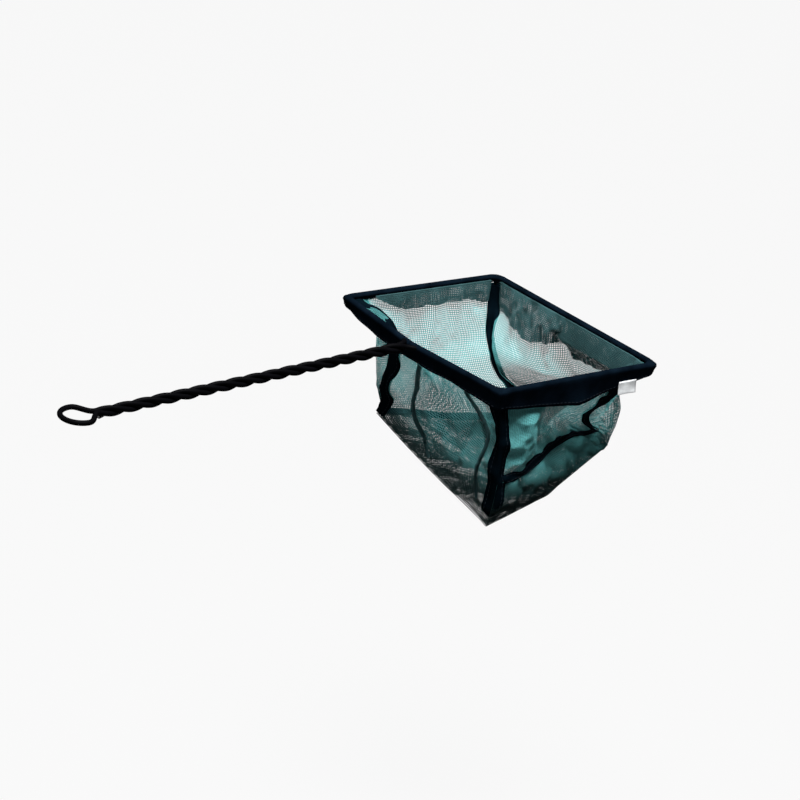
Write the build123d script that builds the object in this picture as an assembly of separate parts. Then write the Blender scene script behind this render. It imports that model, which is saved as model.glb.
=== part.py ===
from build123d import *
import os
from math import ceil, cos, pi, radians, sin, sqrt

# Aquarium fish net, in millimetres. +X runs along the handle to the mouth, +Z up out of the mouth.
# The origin is where a hand holds the twisted handle.

# Mouth, measured on the middle of its wire
MOUTH_WIDTH = 127.0
MOUTH_DEPTH = 105.0
MOUTH_CORNER = 6.0
V_DEPTH = 6.0

# Coated wire
WIRE_DIAMETER = 1.6
WIRE_SIDES = 6
COAT_DIAMETER = 2.6
COAT_SIDES = 8
COAT_FIT = 0.02
STRAND_GAP = 0.1

# Twisted handle with its hanging eye
TWIST_LENGTH = 174.0
TWIST_TURNS = 5 + 2 / 3
ARCS_PER_TURN = 8
HANDLE_DROOP = 3.0
GRIP_REACH = 140.0
SPLAY_LENGTH = 6.0
SPLAY_WIDTH = 8.0
EYE_WIDTH = 15.0
EYE_NECK = 10.0

# Hem that is folded over the mouth wire
HEM_FIT = 0.2
HEM_CLOTH = 0.55
HEM_DROP = 9.0
HEM_OVERLAP = 5.0
HEM_END_GAP = 0.5

# Net bag, whose lowest corner hangs BAG_DEPTH below the mouth
NET_THICKNESS = 0.5
BAG_DEPTH = 72.0
SEW_FIT = 0.1
SOFT_GAP = 0.2
LIP_GAP = 0.5
TAPE_GAP = 0.35

# Seam binding tape
TAPE_THICKNESS = 0.6
TAPE_WIDTH = 5.0

# Bare tag on the right hem
TAG_LENGTH = 12.0
TAG_DROP = 7.0
TAG_THICKNESS = 0.4
TAG_FROM_CORNER = 19.0
TAG_TOP = 5.5

coat_radius = COAT_DIAMETER / 2
bore_radius = WIRE_DIAMETER / 2 + COAT_FIT
lay = TWIST_LENGTH / TWIST_TURNS
turn_rate = 2 * pi / lay

# Three strands side by side close up a little as they slope, so their circle is opened by as much
flat_circle = (COAT_DIAMETER + STRAND_GAP) / sqrt(3)
slope = (turn_rate * flat_circle) ** 2
strand_circle = flat_circle / sqrt(1 - slope / (4 - 2 * slope))

# Angles of the strands about the handle where the twist meets the mouth
LEFT, RIGHT, RETURN = radians(30), radians(150), radians(270)

twist_end = -SPLAY_LENGTH
twist_start = twist_end - TWIST_LENGTH

# Corners of the mouth, from the middle of the handle side
half_width = MOUTH_WIDTH / 2
far_x = V_DEPTH + MOUTH_DEPTH
apex = Vector(0, 0, 0)
left_corner = Vector(V_DEPTH, half_width, 0)
right_corner = Vector(V_DEPTH, -half_width, 0)
far_left = Vector(far_x, half_width, 0)
far_right = Vector(far_x, -half_width, 0)

# The mouth stands level, and the handle slopes down from it to the grip
grip = Vector(-GRIP_REACH, 0, 0).rotate(Axis.Y, -HANDLE_DROOP)
in_place = Pos(-grip.X, -grip.Y, -grip.Z)


def save(shape, node):
    """Write one node where it belongs in the net's own frame."""
    os.makedirs("parts", exist_ok=True)
    export_step(in_place * shape, f"parts/{node}.step")


def tangent_arc(start, corner, end):
    """The arc from start to end whose two tangents meet at corner, or a line where they don't turn."""
    middle = (start + end) / 2
    reach = (end - start).length / 2 / (corner - start).length
    if 1 - reach < 1e-9:
        return Line(start, end)
    return ThreePointArc(start, middle + (corner - middle) * (reach / (1 + reach)), end)


def biarc(start, end):
    """Two tangent arcs from one (point, direction) to another."""
    (here, way), (there, onward) = start, end
    across = there - here
    along = across.dot(way + onward)
    turn = 2 * (1 - way.dot(onward))
    if turn < 1e-9:
        step = across.dot(across) / (2 * along)
    else:
        step = (sqrt(along**2 + turn * across.dot(across)) - along) / turn
    first, second = here + way * step, there - onward * step
    middle = (first + second) / 2
    return [tangent_arc(here, first, middle), tangent_arc(middle, second, there)]


def twist_stop(angle, x, way):
    """The point and direction of a strand at x along the handle, way 1 to the mouth and -1 from it."""
    phase = angle + turn_rate * (x - twist_end)
    point = Vector(x, strand_circle * cos(phase), strand_circle * sin(phase))
    ahead = Vector(1, -strand_circle * turn_rate * sin(phase), strand_circle * turn_rate * cos(phase))
    return (
        point.rotate(Axis.Y, -HANDLE_DROOP),
        ahead.normalized().rotate(Axis.Y, -HANDLE_DROOP) * way,
    )


def chain(stops):
    """Tangent arcs through a row of (point, direction) stops."""
    return [arc for start, end in zip(stops, stops[1:]) for arc in biarc(start, end)]


def strand(angle, way):
    """The edges of one strand along the whole twist."""
    count = ceil(TWIST_TURNS * ARCS_PER_TURN / 2)
    places = [twist_start + TWIST_LENGTH * step / count for step in range(count + 1)]
    return chain([twist_stop(angle, x, way) for x in places[::way]])


def arm(corner):
    """The point and outward direction where the splayed strand lies straight along the handle side."""
    way = (corner - apex).normalized()
    return apex + way * SPLAY_WIDTH, way


def mouth_edges():
    """The edges of the mouth: out of the right strand, round by the far side, into the left strand."""
    (right_start, right_way), (left_start, left_way) = arm(right_corner), arm(left_corner)
    corners = [right_start, right_corner, far_right, far_left, left_corner, left_start]
    return [
        *biarc(twist_stop(RIGHT, twist_end, 1), (right_start, right_way)),
        *FilletPolyline(corners, radius=MOUTH_CORNER).edges(),
        *biarc((left_start, left_way * -1), twist_stop(LEFT, twist_end, -1)),
    ]


def eye_edges():
    """The edges of the eye: out of the left strand, round and back into the return strand."""
    left, back = twist_stop(LEFT, twist_start, -1), twist_stop(RETURN, twist_start, 1)
    level = (left[0].Z + back[0].Z) / 2
    radius = (EYE_WIDTH + COAT_DIAMETER) / 2
    neck_x = min(left[0].X, back[0].X) - EYE_NECK
    side = 1 if left[0].Y > 0 else -1
    return chain(
        [
            left,
            (Vector(neck_x, side * radius, level), Vector(-1, 0, 0)),
            (Vector(neck_x - radius, 0, level), Vector(0, -side, 0)),
            (Vector(neck_x, -side * radius, level), Vector(1, 0, 0)),
            back,
        ]
    )


def rod(edges, section):
    """A solid section swept along joined edges."""
    path = Wire(edges)
    return sweep(Plane(origin=path @ 0, z_dir=path % 0) * section, path=path, clean=False)


def rim(skin, path, end):
    """The closed edge of a swept skin at one end of its path."""
    level = Plane(origin=path @ end, z_dir=path % end)
    return Wire(skin.edges().filter_by(lambda edge: level.contains(edge @ 0) and level.contains(edge @ 1)))


def tube(edges, outer, bore):
    """A hollow section swept along joined edges: two skins closed by a ring at each end."""
    path = Wire(edges)
    start = Plane(origin=path @ 0, z_dir=path % 0)
    skins = [Shell.sweep((start * section).wire(), path) for section in (outer, bore)]
    rings = [Face(rim(skins[0], path, end), [rim(skins[1], path, end)]) for end in (0, 1)]
    return Solid(Shell([*skins[0].faces(), *skins[1].faces(), *rings]))


hem_lip = -HEM_DROP - LIP_GAP


def hung(along, across, down):
    """A point of the bag: shares of the way to the far side, out to the left, and down to its depth."""
    return Vector(V_DEPTH + along * MOUTH_DEPTH, across * half_width, hem_lip - down * (BAG_DEPTH + hem_lip))


# Corners under the hem, and of the bottom. The limp bag hangs twisted, so its seams lie away from its folds
near_left, near_right, far_left_lip, far_right_lip = hung(0, 1, 0), hung(0, -1, 0), hung(1, 1, 0), hung(1, -1, 0)
bottom_left, bottom_right, bottom_far = hung(0.18, 0.66, 0.73), hung(0.07, -0.98, 1), hung(0.98, 0.38, 0.89)
bottom_turn, seam_start, seam_end = hung(0.96, -0.68, 0.68), hung(0.08, -0.95, 0.67), hung(0.79, -0.76, 0.49)
left_turn_top, left_turn_end = hung(0.13, 1, 0), bottom_left + (bottom_far - bottom_left) * 0.07
far_turn_top = hung(1, -0.82, 0)

# Seams from the hem to the bottom, then the creases and folds of the panels between them
near_left_seam = [
    near_left,
    hung(0.08, 0.76, 0.01),
    hung(0.12, 0.47, 0.12),
    hung(0.14, 0.52, 0.39),
    bottom_left,
]
near_right_seam = [near_right, seam_start, bottom_right]
far_left_seam = [far_left_lip, hung(0.95, 0.87, 0.13), hung(0.94, 0.78, 0.34), bottom_far]
far_right_seam = [far_right_lip, hung(0.95, -0.72, 0.12), hung(0.86, -0.61, 0.33), seam_end]
left_crease = [left_turn_top, hung(0.21, 0.88, 0.13), hung(0.21, 0.8, 0.42), left_turn_end]
far_crease = [far_turn_top, hung(1.02, -0.72, 0.17), hung(1.04, -0.65, 0.42), bottom_turn]
right_crease = [bottom_right, hung(0.42, -0.91, 0.92), bottom_turn]
near_fold = [bottom_left, hung(0.12, -0.16, 0.94), bottom_right]
far_fold = [bottom_far, hung(1.01, -0.19, 0.85), bottom_turn]
handle_lip = [near_left, apex + Vector(0, 0, hem_lip), near_right]

half_net = NET_THICKNESS / 2
panel_top = -HEM_DROP + HEM_OVERLAP - SEW_FIT
panel_trim = half_net + SOFT_GAP
tape_near = half_net + TAPE_GAP


def at(line, share):
    """The point at a share of the length of a row of straight runs."""
    runs = [(a, b, (b - a).length) for a, b in zip(line, line[1:])]
    left = share * sum(length for _, _, length in runs)
    for a, b, length in runs[:-1]:
        if left <= length:
            return a + (b - a) * (left / length)
        left -= length
    a, b, length = runs[-1]
    return a + (b - a) * (left / length)


def mix(a, b, share):
    """The value at a share of the way from a to b."""
    return a * (1 - share) + b * share


def patch(top, bottom, near, far):
    """The surface between four edges, by the share across from near to far and down from top to bottom."""

    def point(across, down):
        corners = mix(mix(top[0], top[-1], across), mix(bottom[0], bottom[-1], across), down)
        sides = mix(at(near, down), at(far, down), across)
        return mix(at(top, across), at(bottom, across), down) + sides - corners

    return point


def grid(surface, across, down):
    """Rows of points of a surface."""
    return [[surface(a, d) for a in across] for d in down]


def beside(rows, others):
    """Two grids side by side."""
    return [row + other for row, other in zip(rows, others)]


def mirrored(rows):
    """A grid with its columns the other way round, so that its normals point the other way."""
    return [row[::-1] for row in rows]


def in_hem(rows):
    """A wall's grid with one more row, which stands in the slot of the hem."""
    return [[Vector(p.X, p.Y, panel_top) for p in rows[0]], *rows]


def step(line, i):
    """The way along a row of points at one of them."""
    return line[min(i + 1, len(line) - 1)] - line[max(i - 1, 0)]


def raised(rows, height):
    """A grid moved along its own normals."""
    columns = list(zip(*rows))
    return [
        [p + step(columns[j], i).cross(step(row, j)).normalized() * height for j, p in enumerate(row)]
        for i, row in enumerate(rows)
    ]


def rim_of(rows):
    """The points round the edge of a grid, back to the first."""
    right = [row[-1] for row in rows[1:]]
    left = [row[0] for row in rows[-2::-1]]
    return [*rows[0], *right, *rows[-1][-2::-1], *left]


def slab(outer, inner):
    """A thin solid between two grids, with a flat triangle on each half of a cell."""
    corners = []
    for skin, turn in ((outer, 1), (inner, -1)):
        for above, below in zip(skin, skin[1:]):
            for a, b, c, d in zip(above, above[1:], below[1:], below):
                corners += [(a, d, b)[::turn], (b, d, c)[::turn]]
    upper, lower = rim_of(outer), rim_of(inner)
    for a, b, c, d in zip(upper, upper[1:], lower, lower[1:]):
        corners += [(a, b, c), (b, d, c)]
    return Solid(Shell([Face(Wire.make_polygon(three)) for three in corners]))


def net(rows):
    """A net panel on a grid."""
    return slab(raised(rows, half_net), raised(rows, -half_net))


def tape(rows):
    """Binding tape along the outside of a grid."""
    return slab(raised(rows, tape_near + TAPE_THICKNESS), raised(rows, tape_near))


def corner_tape(seam, first, second):
    """Binding tape folded over the outside of a corner seam, with its edges along two panels."""
    skins = []
    for height in (tape_near + TAPE_THICKNESS, tape_near):
        rows = []
        for i, (a, middle, b) in enumerate(zip(first, seam, second)):
            way = step(seam, i)
            side, other = (a - middle).cross(way).normalized(), way.cross(b - middle).normalized()
            mitre = (side + other) / (1 + side.dot(other))
            rows.append([a + side * height, middle + mitre * height, b + other * height])
        skins.append(rows)
    return slab(*skins)


hem_bore = coat_radius + HEM_FIT
hem_slot = NET_THICKNESS + 2 * SEW_FIT
hem_lips = hem_slot + 2 * HEM_CLOTH


def hem(start, end, start_cut, end_cut):
    """Hem cloth folded over the wire from start to end, with a slot between its lips for the net."""
    lips = Pos(0, -HEM_DROP + HEM_CLOTH / 2) * Rectangle(hem_lips, HEM_CLOTH)
    slot = Pos(0, -HEM_DROP + HEM_OVERLAP / 2) * Rectangle(hem_slot, HEM_OVERLAP)
    outline = make_hull((Circle(hem_bore + HEM_CLOTH) + lips).edges())
    way = (end - start).normalized()
    outward = Vector(0, 0, 1).cross(way)
    place = Plane(origin=start + way * start_cut, x_dir=outward, z_dir=way)
    return extrude(
        place * (outline - Circle(hem_bore) - slot),
        amount=(end - start).length - start_cut - end_cut,
    )


def tag():
    """A bare ribbon tag that hangs from the outer leg of the right hem."""
    taper = (hem_bore + HEM_CLOTH - hem_lips / 2) / HEM_DROP
    outer = half_width + hem_lips / 2 + taper * (HEM_DROP - TAG_TOP) + SOFT_GAP
    corner = Pos(far_x - TAG_FROM_CORNER, -outer, -TAG_TOP)
    return corner * Box(TAG_LENGTH, TAG_THICKNESS, TAG_DROP, align=(Align.CENTER, Align.MAX, Align.MAX))


def least_gap(rows):
    """The least gap between strands of the twist, measured on points of the edges that they follow."""
    shares = [step / 8 for step in range(8)]
    lines = [[edge @ share for edge in edges for share in shares] for edges in rows]
    near = 12
    return min(
        (point - other).length
        for i, point in enumerate(lines[0])
        for line in lines[1:]
        for other in line[max(0, i - near) : i + near + 1]
    ) - COAT_DIAMETER


stretches = {
    "strand_coating_right": strand(RIGHT, 1),
    "mouth_coating": mouth_edges(),
    "strand_coating_left": strand(LEFT, -1),
    "eye_coating": eye_edges(),
    "strand_coating_return": strand(RETURN, 1),
}
coat_section = RegularPolygon(coat_radius, COAT_SIDES)
bore_section = RegularPolygon(bore_radius, WIRE_SIDES, major_radius=False)
wire_section = RegularPolygon(WIRE_DIAMETER / 2, WIRE_SIDES)
for node, edges in stretches.items():
    save(tube(edges, coat_section, bore_section), node)
save(rod([edge for edges in stretches.values() for edge in edges], wire_section), "steel_wire")
twist = [strand(angle, 1) for angle in (LEFT, RIGHT, RETURN)]
print(f"least gap between strands {least_gap(twist):.3f} mm")

# The hem stops short of the wire's bends
to_corner = MOUTH_CORNER + HEM_END_GAP
to_splay = SPLAY_WIDTH + HEM_END_GAP
save(hem(left_corner, far_left, to_corner, to_corner), "hem_left")
save(hem(far_left, far_right, to_corner, to_corner), "hem_far")
save(hem(far_right, right_corner, to_corner, to_corner), "hem_right")
save(hem(right_corner, apex, to_corner, to_splay), "hem_handle_right")
save(hem(apex, left_corner, to_splay, to_corner), "hem_handle_left")

# Surfaces of the bag's panels
handle_side = patch(handle_lip, near_fold, near_left_seam, near_right_seam)
left_turn = patch([near_left, left_turn_top], [bottom_left, left_turn_end], near_left_seam, left_crease)
left_side = patch([left_turn_top, far_left_lip], [left_turn_end, bottom_far], left_crease, far_left_seam)
far_side = patch([far_left_lip, far_turn_top], far_fold, far_left_seam, far_crease)
far_turn = patch([far_turn_top, far_right_lip], [bottom_turn, seam_end], far_crease, far_right_seam)
right_side = patch([near_right, far_right_lip], [seam_start, seam_end], [near_right, seam_start], far_right_seam)
floor = patch(near_fold, far_fold, [bottom_left, bottom_far], right_crease)
riser = patch([bottom_right, seam_start], [bottom_turn, seam_end], right_crease, [seam_start, seam_end])

# Lines of their grids, as shares: each panel stops short of its seams, and has a line at the tape's edge
seam_share = (seam_start - near_right).length
seam_share /= seam_share + (bottom_right - seam_start).length


def from_seam(width):
    """The shares of the trimmed edge and of the tape's edge across a panel of some width."""
    return [panel_trim / width, TAPE_WIDTH / width]


def to_seam(width):
    """The same at the panel's other side."""
    return [1 - share for share in from_seam(width)[::-1]]


wide, deep, tall = MOUTH_WIDTH, MOUTH_DEPTH, BAG_DEPTH
turn_width = (left_turn_top - near_left).length
far_turn_width = (far_right_lip - far_turn_top).length
riser_width = (seam_start - bottom_right).length
middle = [0.25, 0.5, 0.75]
down = [0, 0.22, 0.45, seam_share, 0.85, 1 - (panel_trim + LIP_GAP) / tall]
tape_start = (TAPE_WIDTH + 2 * LIP_GAP) / (seam_end - seam_start).length
back = [panel_trim / deep, tape_start, 0.33, 0.67, 1 - panel_trim / deep]

# Grids of the panels, whose normals point out of the bag
handle_grid = grid(handle_side, from_seam(wide) + middle + to_seam(wide), down)
left_grid = mirrored(
    beside(
        grid(left_turn, from_seam(turn_width) + [1], down),
        grid(left_side, [0.33, 0.67] + to_seam(deep), down),
    )
)
far_grid = mirrored(
    beside(
        grid(far_side, from_seam(wide) + middle + [1], down),
        grid(far_turn, to_seam(far_turn_width), down),
    )
)
right_grid = grid(right_side, from_seam(deep) + middle + to_seam(deep), down)
floor_grid = beside(
    grid(floor, from_seam(wide) + middle + [1], back),
    grid(riser, [0.5] + to_seam(riser_width), back),
)
save(net(in_hem(handle_grid)), "net_handle_side")
save(net(in_hem(left_grid)), "net_left")
save(net(in_hem(far_grid)), "net_far")
save(net(in_hem(right_grid)), "net_right")
save(net(floor_grid), "net_floor")

save(tape([row[:2] for row in floor_grid]), "bottom_tape_left")
save(tape([row[-2:] for row in floor_grid[1:]]), "bottom_tape_right")


def column(rows, place):
    """One column of a grid."""
    return [row[place] for row in rows]


# The near right seam runs down beside the right panel, then beside the floor's riser
beside_right = [right_side(TAPE_WIDTH / deep, share / seam_share) for share in down if share <= seam_share]
beside_riser = [
    riser((1 - share) / (1 - seam_share), TAPE_WIDTH / deep) for share in down if share > seam_share
]
for name, seam, first, second in (
    ("near_left", near_left_seam, column(left_grid, -2), column(handle_grid, 1)),
    ("far_left", far_left_seam, column(far_grid, -2), column(left_grid, 1)),
    ("far_right", far_right_seam, column(right_grid, -2), column(far_grid, 1)),
    ("near_right", near_right_seam, column(handle_grid, -2), beside_right + beside_riser),
):
    save(corner_tape([at(seam, share) for share in down], first, second), f"corner_tape_{name}")

save(tag(), "side_tag")
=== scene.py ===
import math
from functools import cache, partial

import bpy
import numpy as np
from bpy.props import FloatProperty, FloatVectorProperty, IntProperty, PointerProperty
from mathutils import Matrix, Vector


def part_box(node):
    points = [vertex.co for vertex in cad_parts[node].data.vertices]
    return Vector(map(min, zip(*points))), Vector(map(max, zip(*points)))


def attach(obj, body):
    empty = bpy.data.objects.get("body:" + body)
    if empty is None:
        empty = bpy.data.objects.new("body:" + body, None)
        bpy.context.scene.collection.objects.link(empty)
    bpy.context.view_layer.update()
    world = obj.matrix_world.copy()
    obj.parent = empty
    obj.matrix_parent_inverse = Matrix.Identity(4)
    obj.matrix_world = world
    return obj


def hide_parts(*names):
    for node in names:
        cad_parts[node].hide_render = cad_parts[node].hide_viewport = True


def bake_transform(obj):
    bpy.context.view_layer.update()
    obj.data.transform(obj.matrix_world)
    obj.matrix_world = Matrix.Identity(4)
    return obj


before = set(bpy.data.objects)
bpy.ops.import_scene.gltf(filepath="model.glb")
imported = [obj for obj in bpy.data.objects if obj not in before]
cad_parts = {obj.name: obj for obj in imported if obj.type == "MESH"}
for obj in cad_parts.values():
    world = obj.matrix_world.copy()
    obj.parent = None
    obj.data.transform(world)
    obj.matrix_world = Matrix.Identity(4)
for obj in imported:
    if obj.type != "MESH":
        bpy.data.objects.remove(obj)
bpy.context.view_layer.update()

bl_info = {
    "name": "Aquarium fish net",
    "version": (1, 0, 0),
    "blender": (4, 5, 0),
    "location": "View3D > Sidebar > Fish net",
    "description": "Builds the wire, hem, net bag, binding tape and tag of a fish net round its frame",
    "category": "Add Mesh",
}

MM = 0.001

# The grids of the bag: fine steps to one draped step, and columns of the floor that turn up on the right
FINER = 4
RISER = 7

# How the net drapes, which is worked out at a larger scale
DRAPE_SCALE = 10
DRAPE_FRAMES = 40
DRAPE = {
    "quality": 8,
    "mass": 0.05,
    "tension_stiffness": 25,
    "compression_stiffness": 25,
    "shear_stiffness": 8,
    "bending_stiffness": 0.15,
    "air_damping": 2.5,
}

# Net thread: its height to its width on walls and floor, the place of the floor's second layer,
# and the depths between which painted shade darkens the net
WALL_FLATNESS = 0.12
FLOOR_FLATNESS = 0.6
# The floor's second layer is painted shade: a second sheet of net that darkens the floor of the bag
SHADE_LAYER = np.array([-0.5, -0.4, -0.9]) * MM
PAINTED_SHADE_FROM, PAINTED_SHADE_TO = 40 * MM, 62 * MM

# The stage: floor and lamp in metres from the mouth's near edge, and the camera in millimetres from the
# middle of the handle side, with its azimuth, elevation and roll in degrees, as fitted to the photograph
FLOOR_DROP = 0.3
FLOOR_REACH = 4
FLOOR_GLOW = 0.93
SURROUND = 0.08
LAMP_PLACE = (-0.13, -0.2, 1.2)
LAMP_WATTS = 50
LAMP_SIZE = 0.5
CAMERA_PLACE = (-648.5, -737.9, 393.8)
CAMERA_TURNS = (-41.25, 23.38, 9.02)
CAMERA_LENS = 94.5

# The mouth of the net, read from the frame
HEM_TOP = 2.05 * MM
CORNER_CUT = 6.5 * MM
left_low, left_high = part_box("hem_left")
far_low, far_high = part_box("hem_far")
mouth_z = left_high.z - HEM_TOP
far_x = (far_low.x + far_high.x) / 2
near_x = left_low.x - CORNER_CUT
half_width = (left_low.y + left_high.y) / 2

# Where seams of the limp bag meet, in millimetres from the middle of the handle side: the floor's corners
# and the ends of the seam that is tucked up on the right
LOW_NEAR_LEFT = (23.8, 45.7, -61)
LOW_FAR_LEFT = (109.9, 24.7, -66.7)
LOW_NEAR_RIGHT = (14.4, -62, -74.4)
LOW_FAR_RIGHT = (109.4, -44.6, -53.2)
TUCK_NEAR = (14.3, -64.4, -50.2)
TUCK_FAR = (95.5, -46.5, -42.1)

# Seams and folds of the bag, as rows of such points
SEAMS = {
    "near_left": [
        (9, 62.4, -1.5), (18, 50.6, -4.2), (20, 37.5, -8.5), (18.2, 31.2, -19),
        (18.4, 33.6, -34.8), (22.1, 40.1, -52.3), LOW_NEAR_LEFT,
    ],
    "left_bottom": [
        LOW_NEAR_LEFT, (44.1, 42.1, -63.5), (65.2, 39.8, -67.2),
        (87.5, 33, -68.9), LOW_FAR_LEFT,
    ],
    "far_left": [
        (109.5, 62.6, -0.8), (108.5, 59.5, -12.9), (105.6, 53.5, -28.9), (104.8, 47.9, -38),
        (105.7, 41.2, -46.8), (107.8, 32, -55.4), LOW_FAR_LEFT,
    ],
    "near_right": [
        (8.4, -62.2, -5.8), (11.5, -63.2, -24.5), (13.3, -64.4, -47.5),
        (14.5, -62.5, -69.8), LOW_NEAR_RIGHT,
    ],
    "right_bottom": [
        TUCK_NEAR, (35.4, -61, -47.7), (53.4, -55.4, -42.5),
        (71.2, -51.4, -38.7), (86.8, -48.5, -41.5), TUCK_FAR,
    ],
    "far_right": [
        (109, -62.4, -1.5), (97.1, -60.9, -8.5), (86.8, -55.6, -20.3),
        (84.6, -49.4, -29.5), (87.5, -47.5, -36.3), TUCK_FAR,
    ],
    "near_fold": [
        LOW_NEAR_LEFT, (21.5, 14.1, -66.4), (19.1, -17.3, -70.6),
        (16.5, -41.5, -72.3), LOW_NEAR_RIGHT,
    ],
    "far_fold": [LOW_FAR_LEFT, (112.7, -13, -62.5), LOW_FAR_RIGHT],
    "left_crease": [
        (20, 62.8, -0.8), (25.1, 59.1, -15.8), (25, 55, -32.8),
        (24.9, 49.8, -48.2), (27.4, 45.2, -61.3),
    ],
    "right_crease": [
        LOW_NEAR_RIGHT, (33.1, -61.2, -70.4), (55.3, -59.5, -65.2),
        (86.4, -52.9, -56), LOW_FAR_RIGHT,
    ],
    "far_crease": [
        (110.4, -50, -0.8), (113.2, -41.4, -16.2), (113.6, -41.9, -27.1),
        (114.6, -43.7, -36.3), LOW_FAR_RIGHT,
    ],
    "tail": [LOW_NEAR_RIGHT, (14.5, -63.5, -62.6), TUCK_NEAR],
}

# Each hem: its corners, the lean of its legs into the mouth in degrees at start, middle and end,
# the widths of its outer leg there, and the width of its inner leg
HEMS = {
    "hem_left": (("left", "far_left"), (5, 4, 5), (3.2, 2.4, 2.8), 2.2),
    "hem_far": (("far_left", "far_right"), (5, 4, 5), (2.8, 2.8, 3.6), 2.6),
    "hem_right": (("far_right", "right"), (5, -6, 5), (5.0, 14.0, 9.0), 5.0),
    "hem_handle_right": (("right", "apex"), (5, 6, 8), (9.0, 8.0, 7.5), 5.0),
    "hem_handle_left": (("apex", "left"), (8, 0, 5), (7.5, 8.0, 4.0), 4.5),
}

# Each tape: the width of a leg, and the share of its seam where it starts and ends
TAPES = {
    "corner_tape_near_left": (6.0, 0.0, 1.0),
    "corner_tape_far_left": (3.8, 0.03, 1.0),
    "corner_tape_far_right": (3.6, 0.1, 1.0),
    "corner_tape_near_right": (6.0, 0.05, 0.93),
    "bottom_tape_left": (2.0, 0.0, 1.0),
    "bottom_tape_right": (2.4, 0.05, 1.0),
}

# The net turned in under the hem: its way into the bag, its layers, shares of a panel's top edge,
# and its depth at each
TURNED_IN = {
    "net_left": (
        (0, -1, 0), 2,
        (0.15, 0.25, 0.35, 0.58, 0.8, 0.94, 0.96), (1.5, 7, 11, 9.3, 9.6, 13, 13),
    ),
    "net_far": (
        (-1, 0, 0), 2,
        (0.04, 0.12, 0.26, 0.45, 0.52, 0.55, 0.7, 1), (16, 18, 23, 18, 15, 25, 25, 20),
    ),
    "net_right": ((0, 1, 0), 4, (0.04, 0.3, 0.36, 0.46, 1), (40, 36, 22, 9, 8)),
}

# The two pleats of the handle side, and their widths
PLEATS = (
    (
        [(2.1, 2.3, -7.8), (6.1, 1.1, -22.9), (10.6, -2.6, -39), (14.1, -8.5, -51.8), (16.6, -14.2, -58.4)],
        3.2,
    ),
    (
        [
            (4.2, -36.4, -10.2), (7.1, -42.8, -19.5), (10.3, -54.7, -31.3),
            (13.1, -53.1, -48.2), (15.4, -53.2, -63.2),
        ],
        2.0,
    ),
)


Length = partial(FloatProperty, unit="LENGTH")
Colour = partial(FloatVectorProperty, subtype="COLOR")


class WireSizes(bpy.types.PropertyGroup):
    """Sizes of the coated wire, its twist and its eye."""

    coat: Length(name="Coat", description="Diameter over the coat", default=2.6 * MM)
    strand_gap: Length(name="Strand gap", description="Gap between the twisted strands", default=0.1 * MM)
    twist_length: Length(name="Twist length", description="Length of the twisted handle", default=174 * MM)
    turns: FloatProperty(name="Turns", description="Turns of the twist", default=5 + 2 / 3)
    droop: FloatProperty(
        name="Droop", description="Slope of the handle", default=math.radians(3), subtype="ANGLE"
    )
    splay_length: Length(name="Splay length", description="From the twist to the mouth", default=6 * MM)
    splay_width: Length(name="Splay width", description="From the middle to a straight arm", default=8 * MM)
    v_depth: Length(name="V depth", description="Draw of the handle side to the handle", default=6 * MM)
    bend: Length(name="Bend", description="Radius of the mouth's corners", default=6 * MM)
    eye: Length(name="Eye", description="Width inside the hanging eye", default=15 * MM)
    eye_neck: Length(name="Eye neck", description="From the twist to the eye", default=10 * MM)
    sides: IntProperty(name="Sides", description="Sides of the round wire", default=18, min=6)
    step: Length(name="Step", description="Distance between its rings", default=1.0 * MM)


class ClothSizes(bpy.types.PropertyGroup):
    """Sizes of the hem, the net and the tape."""

    hem_thickness: Length(name="Hem thickness", description="Thickness of the ribbon", default=0.45 * MM)
    hem_fit: Length(name="Hem fit", description="From wire to ribbon", default=0.3 * MM)
    pitch: Length(name="Mesh pitch", description="From thread to thread", default=1.0 * MM)
    thread: Length(name="Thread", description="Width of a thread", default=0.42 * MM)
    cloth_step: Length(name="Cloth step", description="Grid of the draping cloth", default=4.0 * MM)
    tape_thickness: Length(name="Tape thickness", description="From seam to face", default=0.85 * MM)


class NetColours(bpy.types.PropertyGroup):
    """Colours of the pieces."""

    coat: Colour(name="Coat", description="Wire coat", default=(0.0011, 0.0011, 0.0015))
    ribbon: Colour(name="Ribbon", description="Hem ribbon", default=(0.0016, 0.0038, 0.0070))
    tape: Colour(name="Tape", description="Seam tape", default=(0.0010, 0.0032, 0.0052))
    net: Colour(name="Net", description="Net thread", default=(0.105, 0.365, 0.37))
    # Painted shade: a darker copy of the net colour, for the turned-in edge and the pleats
    edge: Colour(name="Edge", description="Net thread of the turned-in edge", default=(0.035, 0.085, 0.09))
    tag: Colour(name="Tag", description="Bare tag", default=(0.62, 0.64, 0.65))


class FishNet(bpy.types.PropertyGroup):
    """All the settings of the fish net."""

    wire: PointerProperty(type=WireSizes)
    cloth: PointerProperty(type=ClothSizes)
    colours: PointerProperty(type=NetColours)


def fish_net():
    """The settings in this scene."""
    return bpy.context.scene.fish_net


# Lines


def at_mouth(points):
    """Millimetres from the middle of the handle side, as metres in the frame."""
    return np.asarray(points, float) * MM + mouth_corners()["apex"]


def lengths(points):
    """The distance along a row of points, from its start."""
    steps = np.linalg.norm(np.diff(points, axis=0), axis=1)
    return np.concatenate([[0], np.cumsum(steps)])


def reached(line, reach, values=None):
    """What a line holds at set distances along it, its own points unless others are given."""
    values = line if values is None else values
    along = lengths(line)
    return np.stack([np.interp(reach, along, values[:, k]) for k in range(3)], -1)


def spread(points, count):
    """A row of points at even spacing along another."""
    return reached(points, np.linspace(0, lengths(points)[-1], count))


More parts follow.
